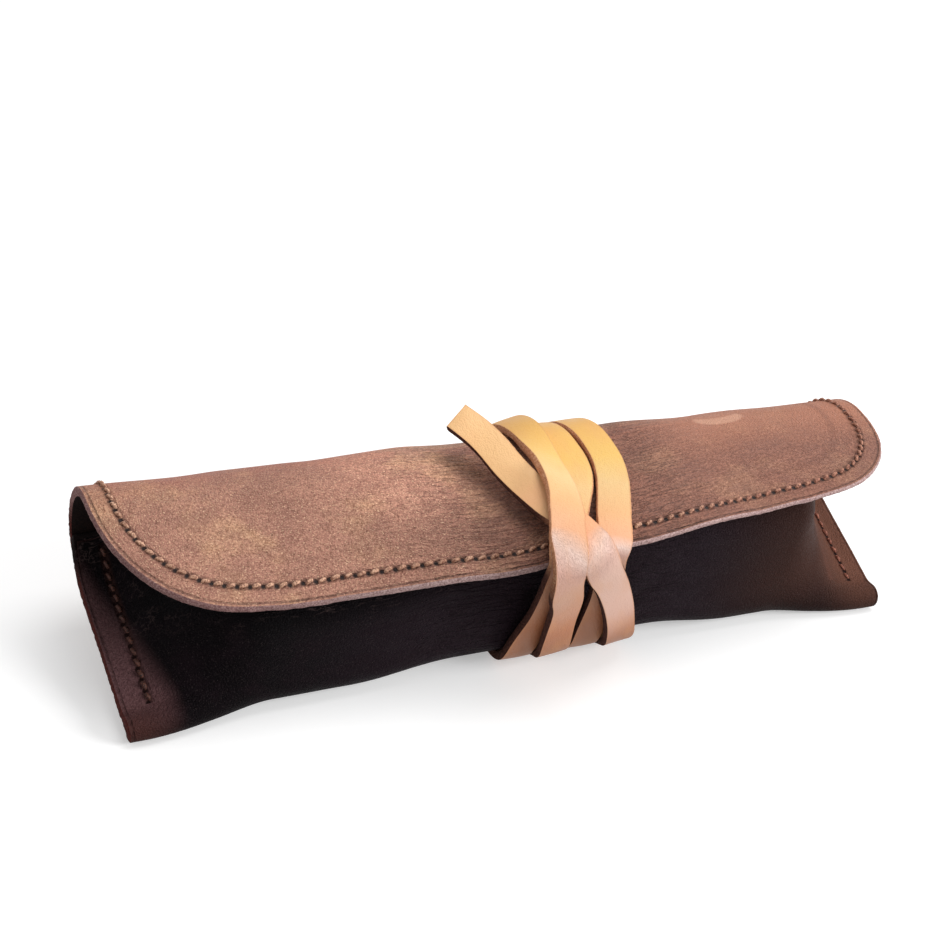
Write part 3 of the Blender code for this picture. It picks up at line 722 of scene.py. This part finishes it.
def cut_sheet(name, columns, rows, lay, thickness, finishes, rim_cuts=4):
    """A grid that lay(a, b) bends into a sheet: it gives points, the ways past the cut edge, and attributes. Of these,
    thin is the share of its thickness that the sheet keeps."""
    bpy.ops.object.select_all(action="DESELECT")
    bpy.ops.mesh.primitive_grid_add(x_subdivisions=columns, y_subdivisions=rows, size=1)
    piece = bpy.context.object
    piece.name = piece.data.name = name
    mesh = piece.data
    count = len(mesh.vertices)
    flat = read(mesh, "position").astype(float) + 0.5
    points, past, attributes = lay(flat[:, 0], flat[:, 1])
    mesh.vertices.foreach_set("co", points.ravel())
    thin = attributes.pop("thin", np.ones(count))
    for label, values in dict(attributes, past=past, depth=np.zeros(count)).items():
        kind, field = ("FLOAT", "value") if values.ndim == 1 else ("FLOAT_VECTOR", "vector")
        mesh.attributes.new(label, kind, "POINT").data.foreach_set(field, values.astype(np.float32).ravel())
    for finish in finishes:
        mesh.materials.append(finish)
    thick = piece.modifiers.new("thickness", "SOLIDIFY")
    thick.thickness = thickness
    thick.offset = -1
    thick.material_offset = 2
    thick.material_offset_rim = 1
    bpy.ops.object.modifier_apply(modifier=thick.name)
    co = read(mesh, "position")
    co[count:] = co[:count] + (co[count:] - co[:count]) * thin[:, None]
    mesh.vertices.foreach_set("co", co.ravel())
    mesh.attributes["depth"].data.foreach_set("value", (np.arange(len(co)) >= count).astype(np.float32))
    divide(mesh, lambda a, b: (a < count) != (b < count), rim_cuts)
    return piece


def round_rim(piece, rounding, grain_size):
    """Swells the cut edge out between its two sides, with a little unevenness, and shades the piece smooth."""
    mesh = piece.data
    co = read(mesh, "position")
    depth, past = read(mesh, "depth", 1), read(mesh, "past")
    swell = rounding * np.sqrt(np.clip(1 - (2 * depth - 1) ** 2, 0, 1)) ** 0.7
    rim = (depth > 0.01) & (depth < 0.99) & (np.linalg.norm(past, axis=1) > 0.5)
    for k in np.nonzero(rim)[0]:
        swell[k] += edge_roughness * noise.noise(Vector(co[k]) / grain_size)
    co[rim] += past[rim] * swell[rim, None]
    mesh.vertices.foreach_set("co", co.ravel())
    mesh.attributes.remove(mesh.attributes["past"])
    mesh.update()
    bpy.ops.object.shade_smooth_by_angle(angle=math.radians(smooth_angle))


def dented(points, out, x, length, amount):
    """Soft unevenness of the hide, pushed in only, so that nothing grows into the strap."""
    pushed = np.array([noise.noise(Vector((a * 28, b * 40, 3.1))) + 0.5 * noise.noise(Vector((a * 70, b * 90, 8.7)))
                       for a, b in zip(x, length)])
    return points - out * (amount * (pushed + 0.6))[:, None]


# The flap's border stitches: straight from the start, round a corner, then along the front to the middle
corner_centre = half_length - flap_corner_radius
corner_start = back_length - flap_corner_radius
border_start = split_length + border_start_margin
border_radius = flap_corner_radius - border_inset
border_straight = corner_start - border_start
border_corner = border_radius * math.pi / 2
border_total = 2 * (border_straight + border_corner + corner_centre)
border_count = round(border_total / stitch_pitch)
border_lead = 0.0008
off_sewing = 1


def border_measures(x, length):
    """Signed distance to the flap's border stitches, and the way along them."""
    side = np.abs(x)
    dx, ds = side - corner_centre, length - corner_start
    in_corner = (dx > 0) & (ds > 0)
    reach = np.hypot(np.maximum(dx, 0), np.maximum(ds, 0))
    across = np.where(in_corner, reach - border_radius, np.maximum(dx, ds) - border_radius)
    turn = np.arctan2(np.maximum(ds, 0), np.maximum(dx, 1e-9))
    beside = (ds <= 0) & (dx > ds)
    front_run = border_straight + border_corner + corner_centre - side
    run = np.where(in_corner, border_straight + border_radius * turn, front_run)
    run = np.where(beside, length - border_start, run)
    run = np.where(x > 0, run, border_total - run)
    return np.where(beside & (length < border_start - border_lead), off_sewing, across), run


def pouch_lay(a, b):
    x = blend(-half_length + rim_rounding, half_length - rim_rounding, a)
    length = blend(-front_length + rim_rounding, split_length, 1 - b)
    points, along, out = on_hide(x, length)
    edge = np.minimum(half_length - np.abs(x), np.where(length < 0, front_length + length, 1))
    sewn = (length < -seam_start + 0.001) & (length > -seam_end - 0.001)
    across = np.where(sewn | (length > 0.02), np.abs(x) - (half_length - seam_inset), off_sewing)
    sewing = joined(across, np.abs(length), 0)
    past = np.zeros_like(points)
    past[a < hair] = (-1, 0, 0)
    past[a > 1 - hair] = (1, 0, 0)
    mouth = b > 1 - hair
    past[mouth] = -along[mouth]
    points = dented(points, out, x, length, pouch_dents)
    return points, past, {"flat": joined(x, length, edge), "sewing": sewing}


def flap_flat(a, b):
    """Places on the cut flap: a rectangle whose two front corners are drawn in to rounds, and the ways past it."""
    radius = flap_corner_radius - rim_rounding
    x = blend(-half_length + rim_rounding, half_length - rim_rounding, a)
    length = blend(split_length, back_length - rim_rounding, b)
    u = np.clip((np.abs(x) - corner_centre) / radius, 0, 1)
    v = np.clip((length - corner_start) / radius, 0, 1)
    inside = (u > 0) & (v > 0)
    round_x = corner_centre + radius * u * np.sqrt(1 - v * v / 2)
    round_length = corner_start + radius * v * np.sqrt(1 - u * u / 2)
    past_x = np.sign(x) * np.where(inside, (round_x - corner_centre) / radius, u >= 1 - hair)
    past_length = np.where(inside, (round_length - corner_start) / radius, v >= 1 - hair)
    on_edge = (u >= 1 - hair) | (v >= 1 - hair)
    return (np.where(inside, np.sign(x) * round_x, x), np.where(inside, round_length, length),
            past_x * on_edge, past_length * on_edge)


def flap_lay(a, b):
    x, length, past_x, past_length = flap_flat(a, 1 - b)
    points, along, out = on_hide(x, length)
    dx, ds = np.abs(x) - corner_centre, length - corner_start
    edge = np.where((dx > 0) & (ds > 0), flap_corner_radius - np.hypot(dx, ds),
                    np.minimum(half_length - np.abs(x), back_length - length))
    across, run = border_measures(x, length)
    sewing = joined(across, run * stitch_pitch * border_count / border_total, 0)
    past = past_x[:, None] * np.array((1, 0, 0)) + past_length[:, None] * along
    points = dented(points, out, x, length, flap_dents)
    thin = 1 - np.interp(x, *np.array(skive_shares).T) * ease(1 - edge / skive_reach)
    return points, past, {"flat": joined(x, length, edge), "sewing": sewing, "thin": thin}


seam_start, seam_end = pinch_lengths()[2], front_length - seam_end_margin
pouch = cut_sheet("pouch_hide", round(case_length / pouch_cell),
                  round((front_length + split_length) / pouch_cell), pouch_lay, leather, hide_finishes)
round_rim(pouch, rim_rounding, hide_edge_grain)
hide_lengths = read(pouch.data, "flat")[:, 1]
for face in pouch.data.polygons:
    if face.material_index == 0 and hide_lengths[face.vertices[0]] < 0.002:
        face.material_index = front_finish
flap = cut_sheet("flap_hide", round(case_length / cell), round((back_length - split_length) / cell), flap_lay,
                 leather, hide_finishes)
round_rim(flap, rim_rounding, hide_edge_grain)


# Stitches
stitch_bend = 1.25
ply_groove = 0.16
stitch_slant = 20
stitch_rise = 0.00022


def stitch_shape(length, radius, sides=10, rings=12, plies=3, turns=1.1):
    """One stitch of plied thread along X, its ends bent down into the holes: its points and their faces."""
    bpy.ops.object.select_all(action="DESELECT")
    bpy.ops.mesh.primitive_cylinder_add(vertices=sides, radius=radius, depth=length, end_fill_type="TRIFAN")
    made = bpy.context.object
    mesh = made.data
    divide(mesh, lambda a, b: abs(mesh.vertices[a].co.z - mesh.vertices[b].co.z) > length / 2, rings)
    x, y, z = read(mesh, "position").astype(float).T
    share = z / length * 2
    turn = np.arctan2(y, x)
    reach = np.hypot(x, y) * (1 + ply_groove * np.cos(plies * (turn - share * turns * math.pi)))
    reach *= 1 - 0.35 * np.abs(share) ** 3
    bend = share * stitch_bend
    arc = length / 2 / stitch_bend
    from_centre = arc + reach * np.cos(turn)
    points = joined(np.sin(bend) * from_centre, reach * np.sin(turn), np.cos(bend) * from_centre - arc)
    faces = [tuple(p.vertices) for p in mesh.polygons]
    bpy.data.objects.remove(made)
    return points, faces


one_stitch, stitch_faces = stitch_shape(length=0.0025, radius=0.00048)


def placed(name, data):
    made = bpy.data.objects.new(name, data)
    bpy.context.collection.objects.link(made)
    return made


def sew(name, path, count, finish, slant=stitch_slant, seed=1):
    """Copies of the stitch along a path, a function of a share that gives a point, a way along and a way out."""
    rng = np.random.default_rng(seed)
    points, faces = [], []
    for k in range(count):
        at, way, out = path((k + 0.5) / count)
        side = np.cross(out, way)
        turn = math.radians(slant + rng.normal(0, 3))
        first = way * math.cos(turn) + side * math.sin(turn)
        second = np.cross(out, first)
        local = one_stitch * (1 + rng.normal(0, 0.05))
        shift = side * rng.normal(0, 0.00006)
        at = at + shift + out * stitch_rise
        faces += [tuple(i + len(points) * len(one_stitch) for i in face) for face in stitch_faces]
        points.append(at + local[:, :1] * first + local[:, 1:2] * second + local[:, 2:] * out)
    mesh = bpy.data.meshes.new(name)
    mesh.from_pydata(np.concatenate(points).tolist(), [], faces)
    mesh.materials.append(finish)
    made = placed(name, mesh)
    bpy.ops.object.select_all(action="DESELECT")
    made.select_set(True)
    bpy.context.view_layer.objects.active = made
    bpy.ops.object.mode_set(mode="EDIT")
    bpy.ops.mesh.select_all(action="SELECT")
    bpy.ops.mesh.normals_make_consistent(inside=False)
    bpy.ops.object.mode_set(mode="OBJECT")
    bpy.ops.object.shade_smooth()
    return made


def towards(point, ahead, out):
    """The point, the way over the surface to the one ahead, and the way out."""
    way = ahead - point
    return point, unit(way - out * np.dot(way, out)), out


def border_place(share):
    length = share * border_total
    run = min(length, border_total - length)
    side = 1 if run == length else -1
    if run <= border_straight:
        x, along = corner_centre + border_radius, border_start + run
    elif run <= border_straight + border_corner:
        turn = (run - border_straight) / border_radius
        x, along = corner_centre + border_radius * math.cos(turn), corner_start + border_radius * math.sin(turn)
    else:
        x, along = corner_centre + border_straight + border_corner - run, back_length - border_inset
    return side * x, along


def border_path(share, inside=False):
    point, _, out = on_hide(*border_place(share))
    ahead = on_hide(*border_place(min(share + 0.001, 1)))[0]
    if inside:
        point, out = point - out * leather, -out
    return towards(point, ahead, out)


def seam_path(side, back):
    def path(share):
        point, along, out = on_hide(side * (half_length - seam_inset), -blend(seam_start, seam_end, share))
        return (point - out * sewn_thickness, -along, -out) if back else (point, -along, out)

    return path


seam_count = round((seam_end - seam_start) / stitch_pitch)
border = sew("flap_border_stitches", border_path, border_count, copper_thread)
border_inside = sew("flap_border_stitches_inside", lambda share: border_path(share, True), border_count,
                    copper_thread, 6)
left_seam = sew("left_seam_stitches", seam_path(-1, False), seam_count, seam_thread_in_painted_shade, seed=2)
right_seam = sew("right_seam_stitches", seam_path(1, False), seam_count, seam_thread, seed=3)
left_seam_back = sew("left_seam_stitches_under", seam_path(-1, True), seam_count, seam_thread, seed=4)
right_seam_back = sew("right_seam_stitches_under", seam_path(1, True), seam_count, seam_thread, seed=5)


# The strap
skin_points = 400
girdle_steps = 960
girdle_stations = 14
route_steps = 3000
route_smoothing = 20
strap_bow = 0.00012


def convex_outline(points):
    points = sorted(set((round(float(y), 7), round(float(z), 7)) for y, z in points))

    def half(run):
        kept = []
        for p in run:
            while len(kept) > 1:
                (ay, az), (by, bz) = kept[-2], kept[-1]
                if (by - ay) * (p[1] - az) - (bz - az) * (p[0] - ay) > 0:
                    break
                kept.pop()
            kept.append(p)
        return kept[:-1]

    return half(points) + half(points[::-1])


def runs(points):
    """How far along a line of points each one is."""
    return np.concatenate([[0], np.cumsum(np.linalg.norm(np.diff(points, axis=0), axis=1))])


def girdle(x):
    """The closed line that a taut strap's middle follows at a station, from the rear down and forwards."""
    skin = on_hide(x, np.linspace(-front_length, back_length, skin_points))[0]
    edge, along, out = on_hide(x, back_length)
    sewn, _, sewn_out = on_hide(x, back_length - border_inset)
    extra = [edge + (out + along) * edge_margin, edge - out * leather + along * edge_margin,
             sewn + sewn_out * (thread_clearance + 2 * thread_radius + stitch_bump)]
    outline = np.array(convex_outline([(p[1], p[2]) for p in list(skin) + extra])[::-1])
    spacing = strap_clearance + strap_thickness / 2
    ring = []
    for k, at in enumerate(outline):
        first, second = unit(at - outline[k - 1]), unit(outline[(k + 1) % len(outline)] - at)
        for way in (first, unit(first + second), second):
            ring.append(at + np.array((-way[1], way[0])) * spacing)
    ring = np.array(ring + ring[:1])
    steps = runs(ring)
    wanted = np.linspace(0, steps[-1], girdle_steps, endpoint=False)
    even = joined(*(np.interp(wanted, steps, line) for line in ring.T))
    even = np.roll(even, -int(np.argmax(even[:, 0])), axis=0)
    window = round(strap_rounding / 2 / steps[-1] * girdle_steps)
    smooth = sum(np.roll(even, k, axis=0) for k in range(-window, window + 1)) / (2 * window + 1)
    way = unit(np.roll(smooth, -1, axis=0) - np.roll(smooth, 1, axis=0))
    return smooth, joined(-way[:, 1], way[:, 0]), steps[-1]


rings = [girdle(waist_place + x) for x in np.linspace(-girdle_reach, girdle_reach, girdle_stations + 1)]
ring_points, ring_outs = (np.array([ring[k] for ring in rings]) for k in range(2))
ring_length = rings[girdle_stations // 2][2]


def on_girdle(turns, x, height):
    """Points at a height over the girdles, after a number of turns and at places along the case, and the ways out."""
    place = (turns % 1) * girdle_steps
    k = place.astype(int) % girdle_steps
    share = (place - np.floor(place))[:, None]
    following = (k + 1) % girdle_steps
    station = np.clip((x - waist_place + girdle_reach) / (2 * girdle_reach), 0, 1) * girdle_stations
    i = np.minimum(station.astype(int), girdle_stations - 1)
    aside = (station - i)[:, None]
    point, out = (blend(blend(line[i, k], line[i, following], share),
                        blend(line[i + 1, k], line[i + 1, following], share), aside)
                  for line in (ring_points, ring_outs))
    out = unit(out)
    at = point + out * height[:, None]
    return joined(x, *at.T), joined(0, *out.T)


def smooth_line(rows, column, turns):
    """The monotone smooth line through the route's rows."""
    t, v = np.array([r[0] for r in rows]), np.array([r[column] for r in rows])
    rise = np.diff(v) / np.diff(t)
    slopes = np.zeros(len(t))
    for k in range(1, len(t) - 1):
        if rise[k - 1] * rise[k] > 0:
            slopes[k] = 2 / (1 / rise[k - 1] + 1 / rise[k])
    k = np.clip(np.searchsorted(t, turns) - 1, 0, len(t) - 2)
    span = t[k + 1] - t[k]
    s = (turns - t[k]) / span
    return (v[k] * (2 * s**3 - 3 * s**2 + 1) + slopes[k] * span * (s**3 - 2 * s**2 + s)
            + v[k + 1] * (3 * s**2 - 2 * s**3) + slopes[k + 1] * span * (s**3 - s**2))


def smoothed(line):
    window = np.hanning(2 * route_smoothing + 1)
    return np.convolve(np.pad(line, route_smoothing, mode="edge"), window / window.sum(), mode="valid")


strap_start, strap_end = strap_route_shares[0][0], strap_route_shares[-1][0]
route_turns = np.linspace(strap_start, strap_end, route_steps)
route_x = smoothed(waist_place + smooth_line(strap_route_shares, 1, route_turns) * strap_width)
route_height = smoothed(smooth_line(strap_route_shares, 2, route_turns) * strap_pitch)
route_lean = smoothed(np.interp(route_turns, *np.array(strap_lean).T))
route_run = runs(on_girdle(route_turns, route_x, route_height)[0])
strap_length = route_run[-1]
route_slant = np.arctan2(np.gradient(route_x, route_turns), ring_length)


def strap_lay(a, b):
    half = strap_width / 2 - strap_rim
    along = blend(strap_rim, strap_length - strap_rim, a)
    from_middle = blend(half, -half, b)
    turns = np.interp(along, route_run, route_turns)
    x, height, slant, lean = (np.interp(turns, route_turns, line)
                              for line in (route_x, route_height, route_slant, route_lean))
    lean = np.radians(lean)
    over = strap_thickness / 2 - strap_bow * (from_middle / half) ** 2
    height = height + from_middle * np.sin(lean) + over * np.cos(lean)
    across = from_middle * np.cos(lean) - over * np.sin(lean)
    at = turns - across * np.sin(slant) / ring_length
    x = x + across * np.cos(slant)
    step = 1e-4
    points, ahead, behind = (on_girdle(at + change, x, height)[0] for change in (0, step, -step))
    round_way = unit(ahead - behind)
    sideways = joined(np.cos(slant), 0, 0) - round_way * np.sin(slant)[:, None]
    forward = joined(np.sin(slant), 0, 0) + round_way * np.cos(slant)[:, None]
    past = np.zeros_like(points)
    for place, way in ((b, sideways), (1 - b, -sideways), (a, -forward), (1 - a, forward)):
        past[place < hair] = way[place < hair]
    edge = np.minimum(strap_width / 2 - np.abs(from_middle), np.minimum(along, strap_length - along))
    return points, past, {"flat": joined(along, from_middle, edge), "turn": turns}


strap = cut_sheet("wound_strap", round(strap_length / cell), 10, strap_lay, strap_thickness, strap_finishes, 3)
round_rim(strap, strap_rim, strap_edge_grain)


# The strap's sewn start on the back: a rectangle of stitches, its corners along and across from the strap's end
anchor_count = 6
anchor_corners = ((0.0022, -0.0023), (0.0097, -0.0023), (0.0097, 0.0023), (0.0022, 0.0023), (0.0022, -0.0023))
anchor_runs = runs(anchor_corners)


def anchor_place(share):
    along, across = (np.interp((share % 1) * anchor_runs[-1], anchor_runs, line) for line in zip(*anchor_corners))
    turns, x = np.array([strap_start + along / ring_length]), np.array([route_x[0] + across])
    points, out = on_girdle(turns, x, np.array([strap_thickness / 2]))
    return points[0], out[0]


def anchor_path(share):
    point, out = anchor_place(share)
    return towards(point, anchor_place(share + 0.01)[0], out)


anchor = sew("strap_anchor_stitches", anchor_path, anchor_count, copper_thread, 0, seed=6)

# What each piece moves with, and what it stands for
for piece in (pouch, left_seam, right_seam, left_seam_back, right_seam_back, strap, anchor):
    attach(piece, "case")
for piece in (border, border_inside):
    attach(piece, "flap")
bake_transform(flap)
for piece in (strap, anchor):
    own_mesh(piece)
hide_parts("pouch")
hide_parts("flap")
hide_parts("wrap_strap")
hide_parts("strap_anchor_thread")
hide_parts("flap_border_thread")
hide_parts("left_seam_thread")
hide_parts("right_seam_thread")

# The floor, the light and the camera
white = (1, 1, 1, 1)
floor_size = 6
lit_floor, seen_floor = (0.52, 0.52, 0.52, 1), (0.8, 0.8, 0.8, 1)
floor_glow = 0.36
world_light, world_seen = 0.45, 1


def seen_by(g):
    """1 for the camera's own rays, then 1 for those and mirrored ones."""
    paths = g.put("ShaderNodeLightPath").outputs
    return paths["Is Camera Ray"], g.math("MAXIMUM", paths["Is Camera Ray"], paths["Is Glossy Ray"])


bpy.ops.mesh.primitive_plane_add(size=floor_size)
floor = bpy.context.object
floor.name = "floor"
g = finish_named("pale_floor", 0.9, 0.1)
direct, seen = seen_by(g)
g.feed(g.shader["Base Color"], g.mix(direct, lit_floor, seen_floor))
g.feed(g.shader["Emission Color"], white)
g.feed(g.shader["Emission Strength"], g.times(seen, floor_glow))
floor.data.materials.append(g.made)

world = bpy.data.worlds.new("studio")
bpy.context.scene.world = world
world.use_nodes = True
g = Graph(world.node_tree)
background = world.node_tree.nodes["Background"].inputs
g.feed(background["Color"], white)
g.feed(background["Strength"], g.span(seen_by(g)[1], 0, 1, world_light, world_seen, smooth=False))


def lamp(name, place, aim, size, power):
    data = bpy.data.lights.new(name, "AREA")
    data.shape = "DISK"
    data.size = size
    data.energy = power
    made = placed(name, data)
    made.location = place
    made.rotation_euler = (Vector(aim) - Vector(place)).to_track_quat("-Z", "Y").to_euler()


lamp("top_softbox", (0.2, 0.1, 1), (0, 0, 0), 0.7, 4.8)
lamp("side_softbox", (0.8, -0.62, 0.55), (0, 0, 0.02), 0.5, 8)

# The camera's ways right, down and ahead, its place, and the photo's focal length in pixels
camera_axes = ((0.90863, -0.38913, 0.15157), (-0.11529, -0.58259, -0.80455), (0.40138, 0.71356, -0.57422))
camera_place = (-0.18159, -0.26657 + frame_shift, 0.28542)
focal_pixels, frame_pixels, sensor_mm = 1600.9, 946, 36
camera_data = bpy.data.cameras.new("camera")
camera = placed("camera", camera_data)
bpy.context.scene.camera = camera
right, down, ahead = (Vector(row) for row in camera_axes)
turned = Matrix((right, -down, -ahead)).transposed().to_4x4()
camera.matrix_world = Matrix.Translation(camera_place) @ turned
camera_data.lens = sensor_mm * focal_pixels / frame_pixels
camera_data.sensor_width = sensor_mm
camera_data.sensor_fit = "HORIZONTAL"
bpy.context.scene.view_settings.view_transform = "Standard"
